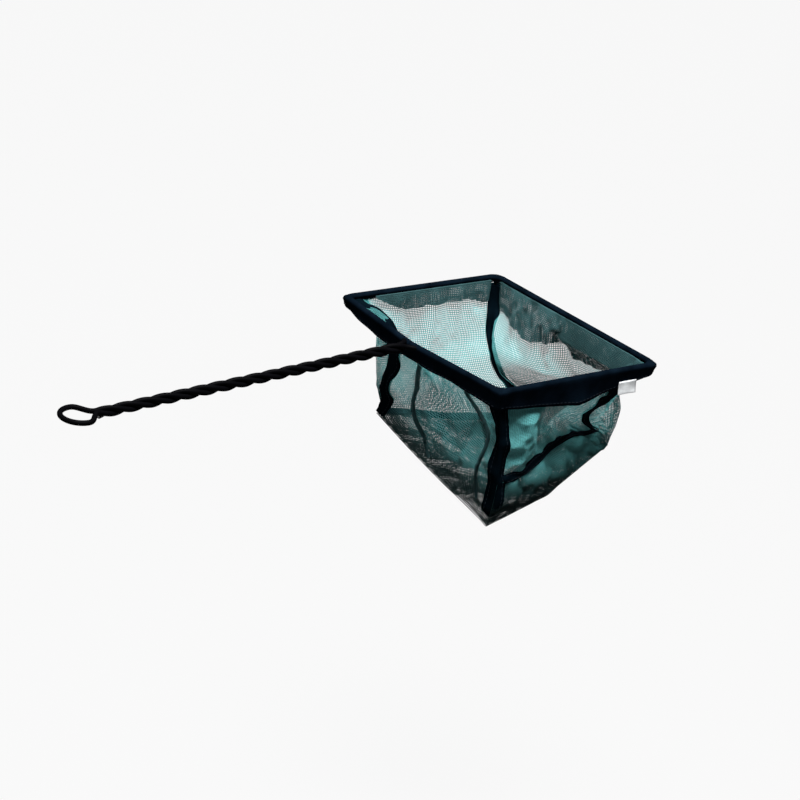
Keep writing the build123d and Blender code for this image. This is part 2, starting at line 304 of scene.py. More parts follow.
def smooth_line(points, per_span=12):
    """A curve through a few points, or through rows of them side by side, as a denser row."""
    p = np.concatenate([2 * points[:1] - points[1:2], points, 2 * points[-1:] - points[-2:-1]])
    a, b, c, d = (p[k : len(p) - 3 + k, None] for k in range(4))
    t = np.linspace(0, 1, per_span, endpoint=False).reshape(-1, *[1] * (points.ndim - 1))
    bend, twist = 2 * a - 5 * b + 4 * c - d, 3 * b - a - 3 * c + d
    spans = 0.5 * (2 * b + (c - a) * t + bend * t**2 + twist * t**3)
    return np.concatenate([spans.reshape(-1, *points.shape[1:]), points[-1:]])


def wavy(along, *waves):
    """The sum of waves along a line, by their heights, lengths over 2 pi in millimetres and phases."""
    return sum(height * np.sin(along / (length * MM) + phase) for height, length, phase in waves)


def eased(start, start_way, end, end_way, count=14):
    """A smooth bend from one point and direction to another."""
    t = np.linspace(0, 1, count)[:, None]
    reach = np.linalg.norm(end - start)
    return (
        (2 * t**3 - 3 * t**2 + 1) * start
        + (t**3 - 2 * t**2 + t) * reach * start_way
        + (3 * t**2 - 2 * t**3) * end
        + (t**3 - t**2) * reach * end_way
    )


def unit(v):
    """Vectors of length one."""
    v = np.asarray(v, float)
    return v / np.maximum(np.linalg.norm(v, axis=-1, keepdims=True), 1e-12)


def rounded(corners, radius, count=10):
    """A row of corners joined by straight runs, with an arc at each inner corner."""
    rows = [corners[0]]
    for a, b, c in zip(corners, corners[1:], corners[2:]):
        before, after = unit(a - b), unit(c - b)
        half = math.acos(float(np.clip(before @ after, -1, 1))) / 2
        cut = radius / math.tan(half)
        middle = b + unit(before + after) * (radius / math.sin(half))
        start, end = b + before * cut - middle, b + after * cut - middle
        turn = math.pi - 2 * half
        for t in np.linspace(0, 1, count):
            bent = math.sin((1 - t) * turn) * start + math.sin(t * turn) * end
            rows.append(middle + bent / math.sin(turn))
    return np.array([*rows, corners[-1]])


def mouth_corners():
    """The corners of the mouth wire: apex, left, far left, far right, right."""
    wire = fish_net().wire
    return {
        "apex": np.array([near_x - wire.v_depth, 0, mouth_z]),
        "left": np.array([near_x, half_width, mouth_z]),
        "far_left": np.array([far_x, half_width, mouth_z]),
        "far_right": np.array([far_x, -half_width, mouth_z]),
        "right": np.array([near_x, -half_width, mouth_z]),
    }


def strand(angle):
    """Points and directions of one strand, from the eye to the mouth."""
    wire = fish_net().wire
    rate = 2 * math.pi * wire.turns / wire.twist_length
    flat = (wire.coat + wire.strand_gap) / math.sqrt(3)
    slope = (rate * flat) ** 2
    circle = flat / math.sqrt(1 - slope / (4 - 2 * slope))
    x = np.linspace(-wire.splay_length - wire.twist_length, -wire.splay_length, 240)
    phase = angle + rate * (x + wire.splay_length)
    points = np.stack([x, circle * np.cos(phase), circle * np.sin(phase)], 1)
    ways = np.stack([np.ones_like(x), -circle * rate * np.sin(phase), circle * rate * np.cos(phase)], 1)
    slant = np.array(Matrix.Rotation(-wire.droop, 3, "Y"))
    return points @ slant.T + mouth_corners()["apex"], unit(ways @ slant.T)


def wire_stretches():
    """The points of the one wire, in the stretches that it is bent into."""
    wire = fish_net().wire
    corner = mouth_corners()
    left, left_ways = strand(math.radians(30))
    right, right_ways = strand(math.radians(150))
    back, back_ways = strand(math.radians(270))
    arms = {}
    for side in ("left", "right"):
        way = unit(corner[side] - corner["apex"])
        arms[side] = (corner["apex"] + way * wire.splay_width, way)
    bends = [corner[k] for k in ("right", "far_right", "far_left", "left")]
    mouth = np.vstack(
        [
            eased(right[-1], right_ways[-1], *arms["right"])[:-1],
            rounded([arms["right"][0], *bends, arms["left"][0]], wire.bend),
            eased(arms["left"][0], -arms["left"][1], left[-1], -left_ways[-1])[1:],
        ]
    )
    radius = (wire.eye + wire.coat) / 2
    level = (left[0][2] + back[0][2]) / 2
    neck_x = min(left[0][0], back[0][0]) - wire.eye_neck
    side = 1 if left[0][1] > 0 else -1
    turn = np.linspace(0, math.pi, 30)
    ring = np.stack([neck_x - radius * np.sin(turn), side * radius * np.cos(turn), 0 * turn + level], 1)
    outward, inward = np.array([-1.0, 0, 0]), np.array([1.0, 0, 0])
    eye = np.vstack(
        [
            eased(left[0], -left_ways[0], ring[0], outward)[:-1],
            ring,
            eased(ring[-1], inward, back[0], back_ways[0])[1:],
        ]
    )
    return {
        "strand_coating_right": right,
        "mouth_coating": mouth,
        "strand_coating_left": left,
        "eye_coating": eye,
        "strand_coating_return": back,
    }


# Meshes and Geometry Nodes


def new_piece(name, vertices, edges=(), faces=()):
    """A mesh object at the origin, with its place in its vertices."""
    mesh = bpy.data.meshes.new(name)
    mesh.from_pydata([tuple(v) for v in vertices], [tuple(e) for e in edges], [tuple(f) for f in faces])
    obj = bpy.data.objects.new(name, mesh)
    bpy.context.scene.collection.objects.link(obj)
    return obj


def chain(count, first=0):
    """The edges between points in a row."""
    return [(first + i, first + i + 1) for i in range(count - 1)]


def node_tree(name, inputs):
    """A Geometry Nodes tree with geometry, these inputs and a material, and its two end nodes."""
    tree = bpy.data.node_groups.new(name, "GeometryNodeTree")
    for label, kind in {"Geometry": "Geometry", **inputs, "Material": "Material"}.items():
        tree.interface.new_socket(label, in_out="INPUT", socket_type="NodeSocket" + kind)
    tree.interface.new_socket("Geometry", in_out="OUTPUT", socket_type="NodeSocketGeometry")
    return tree, tree.nodes.new("NodeGroupInput"), tree.nodes.new("NodeGroupOutput")


def added(tree, kind, settings=None, **links):
    """A node with its settings, and with values, sockets or nodes (by their first output) on its inputs."""
    node = tree.nodes.new(kind)
    for key, value in (settings or {}).items():
        setattr(node, key, value)
    for label, value in links.items():
        socket = node.inputs[label.replace("_", " ")]
        if isinstance(value, bpy.types.Node):
            value = value.outputs[0]
        if isinstance(value, bpy.types.NodeSocket):
            tree.links.new(value, socket)
        else:
            socket.default_value = value
    return node


def finished(tree, geometry, source, output):
    """The end of every tree: real geometry with its material."""
    real = added(tree, "GeometryNodeRealizeInstances", Geometry=geometry)
    painted = added(tree, "GeometryNodeSetMaterial", Geometry=real, Material=source.outputs["Material"])
    tree.links.new(painted.outputs[0], output.inputs[0])
    return tree


def wire_tree():
    """Round wire along the edges of a mesh."""
    tree, source, output = node_tree("round_wire", {"Radius": "Float", "Sides": "Int"})
    sides, radius = source.outputs["Sides"], source.outputs["Radius"]
    line = added(tree, "GeometryNodeMeshToCurve", Mesh=source)
    ring = added(tree, "GeometryNodeCurvePrimitiveCircle", Resolution=sides, Radius=radius)
    tube = added(tree, "GeometryNodeCurveToMesh", Curve=line, Profile_Curve=ring, Fill_Caps=True)
    smooth = added(tree, "GeometryNodeSetShadeSmooth", Geometry=tube, Shade_Smooth=True)
    return finished(tree, smooth, source, output)


def thread_tree():
    """Flat threads along the two ways of a net, which lie in the plane of its cloth."""
    tree, source, output = node_tree("net_threads", {"Width": "Float", "Flatness": "Float"})
    named = "GeometryNodeInputNamedAttribute"
    warp = added(tree, named, {"data_type": "BOOLEAN"}, Name="warp").outputs["Attribute"]
    normal = added(tree, named, {"data_type": "FLOAT_VECTOR"}, Name="cloth_normal").outputs["Attribute"]
    edges = {"domain": "EDGE"}
    parted = added(tree, "GeometryNodeSeparateGeometry", edges, Geometry=source, Selection=warp)
    both = added(tree, "GeometryNodeJoinGeometry")
    for part in parted.outputs:
        line = added(tree, "GeometryNodeMeshToCurve", Mesh=part)
        tree.links.new(line.outputs[0], both.inputs[0])
    turned = added(tree, "GeometryNodeSetCurveNormal", {"mode": "FREE"}, Curve=both, Normal=normal)
    radius = added(tree, "ShaderNodeMath", {"operation": "DIVIDE"})
    tree.links.new(source.outputs["Width"], radius.inputs[0])
    radius.inputs[1].default_value = math.sqrt(3)
    ring = added(tree, "GeometryNodeCurvePrimitiveCircle", Resolution=3, Radius=radius)
    scale = added(tree, "ShaderNodeCombineXYZ", X=source.outputs["Flatness"], Y=1.0, Z=1.0)
    flat = added(tree, "GeometryNodeTransform", Geometry=ring, Scale=scale)
    tube = added(tree, "GeometryNodeCurveToMesh", Curve=turned, Profile_Curve=flat, Fill_Caps=True)
    return finished(tree, tube, source, output)


def made(obj, tree, **values):
    """The piece as a plain mesh, after its tree has run with these inputs."""
    modifier = obj.modifiers.new(tree.name, "NODES")
    modifier.node_group = tree
    for item in tree.interface.items_tree:
        key = item.name.replace(" ", "_").lower()
        if item.in_out == "INPUT" and key in values:
            modifier[item.identifier] = values[key]
    return plain(obj)


def plain(obj):
    """The piece with its modifiers applied and removed."""
    bpy.context.view_layer.update()
    graph = bpy.context.evaluated_depsgraph_get()
    mesh = bpy.data.meshes.new_from_object(obj.evaluated_get(graph), depsgraph=graph)
    mesh.name = obj.name
    obj.modifiers.clear()
    obj.data = mesh
    return obj


def tree_named(name, build):
    """A tree that is built once."""
    return bpy.data.node_groups.get(name) or build()


# Materials


def shader_group(name, output):
    """A shader group with one scale in and one value out, and its two end nodes."""
    tree = bpy.data.node_groups.new(name, "ShaderNodeTree")
    tree.interface.new_socket("Scale", in_out="INPUT", socket_type="NodeSocketFloat")
    tree.interface.new_socket(output, in_out="OUTPUT", socket_type="NodeSocketFloat")
    return tree, tree.nodes.new("NodeGroupInput"), tree.nodes.new("NodeGroupOutput")


def mottle_group():
    """Soft clouds from 0 to 1."""
    tree, source, output = shader_group("mottle", "Value")
    place = added(tree, "ShaderNodeTexCoord")
    scale = source.outputs["Scale"]
    cloud = added(tree, "ShaderNodeTexNoise", Vector=place.outputs["Object"], Scale=scale, Detail=3.0)
    tree.links.new(cloud.outputs["Fac"], output.inputs["Value"])
    return tree


def weave_group():
    """The over and under of a plain weave from 0 to 1, on the map of the cloth."""
    tree, source, output = shader_group("weave", "Height")
    place = added(tree, "ShaderNodeUVMap", {"uv_map": "cloth"})
    both = added(tree, "ShaderNodeMath", {"operation": "MULTIPLY"})
    for way, socket in zip("XY", both.inputs):
        wave = added(tree, "ShaderNodeTexWave", {"bands_direction": way}, Vector=place, Scale=source)
        tree.links.new(wave.outputs["Fac"], socket)
    tree.links.new(both.outputs[0], output.inputs["Height"])
    return tree


def material(name, colour, roughness):
    """A new material, its node tree and its shader."""
    found = bpy.data.materials.new(name)
    found.use_nodes = True
    shader = found.node_tree.nodes["Principled BSDF"]
    shader.inputs["Base Color"].default_value = (*colour, 1)
    shader.inputs["Roughness"].default_value = roughness
    found.diffuse_color = (*colour, 1)
    return found, found.node_tree, shader


def material_named(name, build):
    """A material that is built once."""
    return bpy.data.materials.get(name) or build(name)


def grouped(tree, name, build, scale):
    """A shader group at work in a tree."""
    return added(tree, "ShaderNodeGroup", {"node_tree": tree_named(name, build)}, Scale=scale)


def dyed(name, colour, roughness, shine, scale, tints):
    """A new material in cloudy tints of one colour, its node tree and its shader."""
    found, tree, shader = material(name, colour, roughness)
    shader.inputs["Specular IOR Level"].default_value = shine
    ramp = added(tree, "ShaderNodeValToRGB", Fac=grouped(tree, "mottle", mottle_group, scale))
    for stop, place, share in zip(ramp.color_ramp.elements, (0.3, 0.7), tints):
        stop.position = place
        stop.color = (*(share * k for k in colour), 1)
    tree.links.new(ramp.outputs["Color"], shader.inputs["Base Color"])
    return found, tree, shader


def raised(tree, shader, height, strength, depth):
    """A fine relief on the surface."""
    bump = added(tree, "ShaderNodeBump", Strength=strength, Distance=depth, Height=height)
    tree.links.new(bump.outputs["Normal"], shader.inputs["Normal"])


def woven(name, colour, roughness, shine, threads):
    """A woven cloth."""
    found, tree, shader = dyed(name, colour, roughness, shine, scale=110.0, tints=(0.65, 1.5))
    weave = grouped(tree, "weave", weave_group, threads)
    raised(tree, shader, weave.outputs["Height"], 0.35, 0.15 * MM)
    return found


def coat_material(name):
    """Black soft PVC with a dull shine."""
    colour = fish_net().colours.coat
    found, tree, shader = dyed(name, colour, roughness=0.5, shine=0.012, scale=160.0, tints=(0.8, 1.3))
    grain = grouped(tree, "mottle", mottle_group, 900.0)
    raised(tree, shader, grain.outputs["Value"], 0.12, 0.1 * MM)
    return found


def ribbon_material(name):
    """Black woven ribbon."""
    return woven(name, fish_net().colours.ribbon, roughness=0.9, shine=0.0, threads=380.0)


def tape_material(name):
    """Black seam binding."""
    return woven(name, fish_net().colours.tape, roughness=0.95, shine=0.0, threads=300.0)


def tag_material(name):
    """White satin ribbon."""
    return woven(name, fish_net().colours.tag, roughness=0.5, shine=0.3, threads=700.0)


def net_material(name):
    """Teal nylon thread, darkened towards the bottom of the bag with painted shade."""
    colour = fish_net().colours.net
    found, tree, shader = dyed(name, colour, roughness=0.6, shine=0.1, scale=70.0, tints=(0.85, 1.12))
    place = added(tree, "ShaderNodeTexCoord")
    height = added(tree, "ShaderNodeSeparateXYZ", Vector=place.outputs["Object"])
    # Painted shade: the colour falls to 0.04 of itself from the upper depth down to the lower one
    depth = added(
        tree,
        "ShaderNodeMapRange",
        {"interpolation_type": "SMOOTHSTEP"},
        Value=height.outputs["Z"],
        From_Min=mouth_z - PAINTED_SHADE_TO,
        From_Max=mouth_z - PAINTED_SHADE_FROM,
        To_Min=0.04,
        To_Max=1.0,
    )
    cloudy = shader.inputs["Base Color"].links[0].from_socket
    painted_shade_colour = added(tree, "ShaderNodeVectorMath", {"operation": "SCALE"}, Vector=cloudy, Scale=depth)
    tree.links.new(painted_shade_colour.outputs["Vector"], shader.inputs["Base Color"])
    return found


def shaded_net_material(name):
    """Net thread darkened with painted shade, for the turned-in edge and the pleats."""
    return dyed(name, fish_net().colours.edge, roughness=0.6, shine=0.1, scale=70.0, tints=(0.8, 1.2))[0]


def stitch_material(name):
    """Dark sewing thread."""
    return dyed(name, (0.006, 0.009, 0.014), roughness=0.6, shine=0.15, scale=400.0, tints=(0.7, 1.4))[0]


def steel_material(name):
    """Bright drawn steel."""
    colour = (0.55, 0.55, 0.57)
    found, _, shader = dyed(name, colour, roughness=0.35, shine=0.5, scale=250.0, tints=(0.85, 1.1))
    shader.inputs["Metallic"].default_value = 1.0
    return found


# The bag


def patch(top, bottom, near, far):
    """A grid of points between four edges. Rows run from top to bottom, columns from near to far."""
    rows, columns = len(near), len(top)
    v, u = np.linspace(0, 1, rows)[:, None, None], np.linspace(0, 1, columns)[None, :, None]
    flat = (1 - v) * top[None] + v * bottom[None] + (1 - u) * near[:, None] + u * far[:, None]
    corners = (
        (1 - v) * (1 - u) * top[0] + (1 - v) * u * top[-1] + v * (1 - u) * bottom[0] + v * u * bottom[-1]
    )
    return flat - corners


def grid_faces(rows, columns):
    """The faces between the points of a grid."""
    number = np.arange(rows * columns).reshape(rows, columns)
    return np.stack([number[:-1, :-1], number[1:, :-1], number[1:, 1:], number[:-1, 1:]], -1).reshape(-1, 4)


def draped(points, creases, slack):
    """The grid after the cloth has settled under its own weight, held at its edges and creases."""
    rows, columns = points.shape[:2]
    obj = new_piece("draping", points.reshape(-1, 3) * DRAPE_SCALE, faces=grid_faces(rows, columns))
    held = np.zeros((rows, columns), bool)
    held[[0, -1]] = True
    held[:, [0, -1, *creases]] = True
    group = obj.vertex_groups.new(name="held")
    group.add([int(i) for i in np.flatnonzero(held)], 1.0, "REPLACE")
    cloth = obj.modifiers.new("cloth", "CLOTH")
    cloth.settings.vertex_group_mass = group.name
    cloth.settings.shrink_min = cloth.settings.shrink_max = -slack
    for key, value in DRAPE.items():
        setattr(cloth.settings, key, value)
    cloth.collision_settings.use_collision = False
    scene = bpy.context.scene
    cloth.point_cache.frame_start, cloth.point_cache.frame_end = 1, DRAPE_FRAMES
    for now in range(1, DRAPE_FRAMES + 1):
        scene.frame_set(now)
    graph = bpy.context.evaluated_depsgraph_get()
    settled = np.zeros(rows * columns * 3, np.float32)
    obj.evaluated_get(graph).data.vertices.foreach_get("co", settled)
    scene.frame_set(1)
    bpy.data.objects.remove(obj)
    return settled.astype(float).reshape(rows, columns, 3) / DRAPE_SCALE


def finer(points, per_step):
    """The grid with more points between its own, on smooth curves."""
    for _ in range(2):
        points = np.swapaxes(smooth_line(points, per_step), 0, 1)
    return points


def cloth_normals(points):
    """The normal of a grid of points at each of them."""
    down, across = np.gradient(points, axis=0), np.gradient(points, axis=1)
    return unit(np.cross(down, across))


def net_piece(name, grids, flatness, found, inside=None):
    """Threads along the rows and columns of each grid of one panel, where they are inside its edge."""
    edges, warps, first = [], [], 0
    for grid in grids:
        rows, columns = grid.shape[:2]
        number = first + np.arange(rows * columns).reshape(rows, columns)
        first += rows * columns
        weft = np.stack([number[:, :-1], number[:, 1:]], -1).reshape(-1, 2)
        warp = np.stack([number[:-1], number[1:]], -1).reshape(-1, 2)
        edges += [weft, warp]
        warps += [np.zeros(len(weft), bool), np.ones(len(warp), bool)]
    points = np.vstack([grid.reshape(-1, 3) for grid in grids])
    kept = np.ones(first, bool) if inside is None else np.tile(inside.ravel(), len(grids))
    edges, warps = np.vstack(edges), np.concatenate(warps)
    whole = kept[edges].all(axis=1)
    obj = new_piece(name, points[kept], edges=(np.cumsum(kept) - 1)[edges[whole]])
    kind = obj.data.attributes.new("warp", "BOOLEAN", "EDGE")
    kind.data.foreach_set("value", warps[whole])
    normals = np.vstack([cloth_normals(grid).reshape(-1, 3) for grid in grids])[kept]
    normal = obj.data.attributes.new("cloth_normal", "FLOAT_VECTOR", "POINT")
    normal.data.foreach_set("vector", normals.astype(np.float32).ravel())
    tree = tree_named("net_threads", thread_tree)
    return made(obj, tree, width=fish_net().cloth.thread, flatness=flatness, material=found)


def steps_for(points):
    """How many points a line needs at the step of the cloth."""
    return max(3, round(lengths(points)[-1] / fish_net().cloth.cloth_step) + 1)


def joined(first, second):
    """Two grids side by side that share a column."""
    return np.concatenate([first, second[:, 1:]], axis=1)


def between(top, bottom, near, far, columns):
    """A grid with so many columns from one line down to another, between two upright lines."""
    return patch(spread(np.array(top), columns), spread(np.array(bottom), columns), near, far)


def bag_grids():
    """The grids of the bag's panels before the cloth settles, with their crease columns and slack."""
    raw = {name: smooth_line(at_mouth(points)) for name, points in SEAMS.items()}
    tall, turned, straight = 18, 8, 21
    deep, across, wide = (steps_for(raw[k]) for k in ("right_crease", "near_fold", "right_bottom"))
    sewn = ("near_left", "far_left", "near_right", "far_right", "far_crease", "left_crease")
    near_left, far_left, near_right, far_right, far_crease, crease = (spread(raw[k], tall) for k in sewn)
    floor_left, floor_crease, floor_right = (
        spread(raw[k], deep) for k in ("left_bottom", "right_crease", "right_bottom")
    )

    under_apex = mouth_corners()["apex"] + np.array([0, 0, -4 * MM])
    handle_top = [near_left[0], under_apex, near_right[0]]
    handle = between(handle_top, raw["near_fold"], near_left, near_right, across)

    bottom = raw["left_bottom"]
    cut = np.argmin(np.linalg.norm(bottom - crease[-1], axis=1))
    crease = np.vstack([crease[:-1], bottom[cut : cut + 1]])
    left = joined(
        between([near_left[0], crease[0]], bottom[: cut + 1], near_left, crease, turned),
        between([crease[0], far_left[0]], bottom[cut:], crease, far_left, straight),
    )

    far_end = [raw["far_fold"][-1], raw["right_bottom"][-1]]
    floor = joined(
        between(raw["near_fold"], raw["far_fold"], floor_left, floor_crease, across),
        between(raw["tail"], far_end, floor_crease, floor_right, RISER),
    )
    far = joined(
        between([far_left[0], far_crease[0]], raw["far_fold"], far_left, far_crease, across),
        between([far_crease[0], far_right[0]], far_end, far_crease, far_right, RISER),
    )

    short = raw["near_right"]
    end = np.argmin(np.linalg.norm(short - raw["tail"][-1], axis=1))
    short = spread(np.vstack([short[:end], raw["tail"][-1:]]), tall)
    right = between([short[0], far_right[0]], raw["right_bottom"], short, far_right, wide)
    return {
        "net_handle_side": (handle, [], 0.05),
        "net_floor": (floor, [across - 1], 0.05),
        "net_far": (far, [across - 1], 0.08),
        "net_left": (left, [turned - 1], 0.06),
        "net_right": (right, [], 0.05),
    }


@cache
def hung_panels():
    """The bag's panels as fine grids, after the cloth has settled, with their tops inside the hem."""
    panels = {name: finer(draped(*made_up), FINER) for name, made_up in bag_grids().items()}
    inset, fade, faded = 0.9 * MM, 6 * MM, 3.2
    side = half_width - inset
    for panel in panels.values():
        top = np.clip((panel[..., 2] - mouth_z) / fade + faded, 0, 1)
        panel[..., 1] += top * (np.clip(panel[..., 1], -side, side) - panel[..., 1])
        panel[..., 0] += top * (np.minimum(panel[..., 0], far_x - inset) - panel[..., 0])
    return panels


def cut_size(grid, slack=0):
    """The width and length of a panel that lies flat before it is hung, and its area."""
    width = max(lengths(row)[-1] for row in grid) * (1 + slack)
    length = max(lengths(column)[-1] for column in np.swapaxes(grid, 0, 1)) * (1 + slack)
    cells = np.cross(grid[1:, :-1] - grid[:-1, :-1], grid[:-1, 1:] - grid[:-1, :-1])
    return (width, length), float(np.linalg.norm(cells, axis=-1).sum()) * (1 + slack) ** 2


def turned_edge(node):
    """The net turned in under the hem, in layers with a wavy free edge, and its flat size and area."""
    way, count, shares, depths = TURNED_IN[node]
    first_gap, layer_gap = 0.9, 0.7
    panel = hung_panels()[node]
    top = lengths(panel[0])
    wanted = (top >= shares[0] * top[-1]) & (top <= shares[-1] * top[-1])
    depth = np.interp(top / top[-1], shares, depths)[wanted] * MM
    panel, top = panel[:, wanted], top[wanted]
    down = np.arange(0, np.max(depth), fish_net().cloth.pitch)
    edge = np.stack([reached(column, down) for column in np.swapaxes(panel, 0, 1)], 1)
    layers = [edge + np.array(way) * (first_gap + layer_gap * k) * MM for k in range(count)]
    flat = (top[-1] - top[0], count * np.max(depth))
    return layers, down[:, None] <= depth, flat, count * float(np.trapz(depth, top))


def pleat(points, width):
    """A pleat on the outside of the handle side: a tapering strip of net, folded into eight layers."""
    window, taper, narrower = 7, 0.35, 0.025
    first_lift, lift, steps = 0.4, 0.09, 17
    panel = hung_panels()["net_handle_side"]
    places, normals = panel.reshape(-1, 3), cloth_normals(panel).reshape(-1, 3)
    line = smooth_line(at_mouth(points))
    line = spread(line, round(lengths(line)[-1] / fish_net().cloth.pitch))
    near = np.argmin(np.sum((line[:, None, 1:] - places[None, :, 1:]) ** 2, -1), axis=1)
    depth = np.pad(places[near, 0], window // 2, mode="edge")
    line[:, 0] = np.convolve(depth, np.ones(window) / window, mode="valid")
    out = normals[near]
    across = unit(np.cross(np.gradient(line, axis=0), out))
    size = np.linspace(1, taper, len(line))[:, None] * width * MM
    columns = []
    for k in range(steps):
        share = (-0.5, 0, 0.5, 0)[k % 4] * (1 - narrower * k)
        columns.append(line + across * share * size + out * (first_lift + lift * k) * MM)
    return np.stack(columns, 1)


# Hem ribbon, tape, stitches and tag


def map_cloth(obj, places):
    """The map of a cloth in metres, one place for each corner of a face."""
    layer = obj.data.uv_layers.new(name="cloth")
    layer.uv.foreach_set("vector", np.asarray(places, np.float32).ravel())


def grid_piece(name, points, thickness, found):
    """A smooth sheet on a grid of points, with its own thickness and a map of its cloth in metres."""
    rows, columns = points.shape[:2]
    obj = new_piece(name, points.reshape(-1, 3), faces=grid_faces(rows, columns))
    along = lengths(points[:, columns // 2])
    across = lengths(points[rows // 2])
    places = np.stack(np.meshgrid(along, across, indexing="ij"), -1).reshape(-1, 2)
    map_cloth(obj, places[grid_faces(rows, columns).ravel()])
    obj.data.materials.append(found)
    solid = obj.modifiers.new("thickness", "SOLIDIFY")
    solid.thickness = thickness
    solid.offset = 0
    plain(obj)
    obj.data.shade_smooth()
    return obj


def ring_piece(name, rings, found):
    """A closed strip through rings of points, with a map of its cloth in metres."""
    count, around = rings.shape[:2]
    number = np.arange(count * around).reshape(count, around)
    after = np.roll(number, -1, axis=1)
    sides = np.stack([number[:-1], number[1:], after[1:], after[:-1]], -1).reshape(-1, 4)
    obj = new_piece(name, rings.reshape(-1, 3), faces=[*sides, number[0], number[-1][::-1]])
    along = lengths(rings[:, around // 4])
    middle = rings[count // 2]
    girth = lengths(np.vstack([middle, middle[:1]]))
    u, v = np.meshgrid(np.arange(count - 1), np.arange(around), indexing="ij")
    corners = [np.stack([along[u + a], girth[v + b]], -1) for a, b in ((0, 0), (1, 0), (1, 1), (0, 1))]
    places = np.stack(corners, 2).reshape(-1, 2)
    map_cloth(obj, np.vstack([places, np.zeros((2 * around, 2))]))
    obj.data.materials.append(found)
    obj.data.shade_smooth()
    return obj


def hem_route(start, end):
    """The wire under one hem, to just past the middle of the bends at its ends."""
    corner = mouth_corners()
    bend = fish_net().wire.bend
    order = ["left", "far_left", "far_right", "right", "apex"]
    i = order.index(start)
    around = [corner[order[(i + k - 1) % len(order)]] for k in range(4)]
    count, past = 11, 1
    bent = rounded(around, bend, count)
    second = 1 + count
    first, last = second // 2 - past, second + count // 2 + past
    if start == "apex":
        return np.vstack([corner["apex"], bent[second : last + 1]])
    if end == "apex":
        return np.vstack([bent[first:second], corner["apex"]])
    return bent[first : last + 1]


def hem_frames(node):
    """Stations along one hem: the wire's middle, the way its legs hang, the way out, and a leg's width."""
    (start, end), leans, widths, _ = HEMS[node]
    station = 1.5 * MM
    line = hem_route(start, end)
    line = spread(line, round(lengths(line)[-1] / station))
    ways = unit(np.gradient(line, axis=0))
    up = np.array([0, 0, 1.0])
    inward = unit(np.cross(ways, up))
    t = np.linspace(0, 1, len(line))
    lean = np.radians(np.interp(t, [0, 0.5, 1], leans))[:, None]
    hang = np.cos(lean) * -up + np.sin(lean) * inward
    out = -np.cos(lean) * inward - np.sin(lean) * up
    wide = np.interp(t, [0, 0.5, 1], widths) * MM
    return line, hang, out, wide


def hem_grid(node):
    """The hem ribbon over the wire: outer leg, fold and inner leg, a little wavy, with pointed corners."""
    (start, end), _, _, inner = HEMS[node]
    line, hang, out, wide = hem_frames(node)
    radius = fish_net().wire.coat / 2 + fish_net().cloth.hem_fit
    along = lengths(line)
    lip, outer_wave, inner_wave, calm = 0.8 * MM, 0.9 * MM, 0.4 * MM, 8 * MM
    point_size, point_reach = 2.2 * MM, 5.5 * MM
    from_corner = np.minimum(along if start != "apex" else 1, along[-1] - along if end != "apex" else 1)
    point = out * (point_size * np.clip(1 - from_corner / point_reach, 0, 1))[:, None]
    wave = wavy(along, (0.5, 6.3, 0), (0.3, 3.7, 1.3))
    wave = wave * np.clip(np.minimum(along, along[-1] - along) / calm, 0, 1)
    rows = []
    for h in np.linspace(1, 0, 9)[:-1]:
        side = lip + (radius - lip) * (1 - h) ** 2 + wave * h**2 * outer_wave
        rows.append(line + hang * (wide * h)[:, None] + out * side[:, None] + point)
    for turn in np.linspace(0, math.pi, 9):
        around = out * math.cos(turn) - hang * math.sin(turn)
        rows.append(line + radius * around + point * max(0, math.cos(turn)))
    for h in np.linspace(0, 1, 6)[1:]:
        side = lip + (radius - lip) * (1 - h) ** 2 - wave * h**2 * inner_wave
        rows.append(line + hang * (inner * MM * h) - out * side[:, None])
    return np.stack(rows, 1)


def tape_sides(node):
    """The cloth on the two sides of a taped seam, as lines that run away from the seam."""
    order = ("handle_side", "floor", "far", "left", "right")
    handle, floor, far, left, right = (hung_panels()["net_" + k] for k in order)
    riser = floor[:, -(RISER - 1) * FINER - 1 :]
    strap_reach, strap_drop, fade, faded = 12 * MM, 2 * MM, 8 * MM, 2
    strap = []
    for row in handle:
        arm = np.array([row[0, 0] - strap_reach, row[0, 1], mouth_z - strap_drop])
        share = np.clip((row[0, 2] - mouth_z) / fade + faded, 0, 1)
        strap.append((1 - share) * row + share * np.linspace(row[0], arm, len(row)))
    return {
        "corner_tape_near_left": ([*left], strap),
        "corner_tape_far_left": ([*far], [*left[:, ::-1]]),
        "corner_tape_far_right": ([*right[:, ::-1]], [*far[:, ::-1]]),
        "corner_tape_near_right": ([*handle[:, ::-1]], [*right, *riser.swapaxes(0, 1)[-2::-1]]),
        "bottom_tape_left": ([*left[::-1].swapaxes(0, 1)], [*floor]),
        "bottom_tape_right": ([*riser[:, ::-1]], [*right[::-1].swapaxes(0, 1)]),
    }[node]


def tape_legs(node):
    """Stations along one tape: the points of its two legs from the seam, and their ways out of the bag."""
    leg, start, end = TAPES[node]
    shares = np.array([0, 0.3, 0.65, 1])
    station, window = 1.6 * MM, 5
    sides = []
    for lines in tape_sides(node):
        points = np.array([reached(line, shares * leg * MM) for line in lines])
        along = lengths(points[:, 0])
        count = round((end - start) * along[-1] / station) if not sides else len(sides[0])
        places = np.linspace(start, end, count) * along[-1]
        smooth = np.pad(points, ((window // 2,) * 2, (0, 0), (0, 0)), mode="edge")
        points[:, 1:] = np.mean([smooth[k : k + len(points), 1:] for k in range(window)], axis=0)
        sides.append(np.stack([reached(points[:, 0], places, points[:, k]) for k in range(len(shares))], 1))
    first, second = sides
    way = unit(np.gradient((first[:, 0] + second[:, 0]) / 2, axis=0))
    first_out = unit(np.cross(first[:, 2] - first[:, 0], way))
    second_out = unit(np.cross(way, second[:, 2] - second[:, 0]))
    return first, second, first_out, second_out


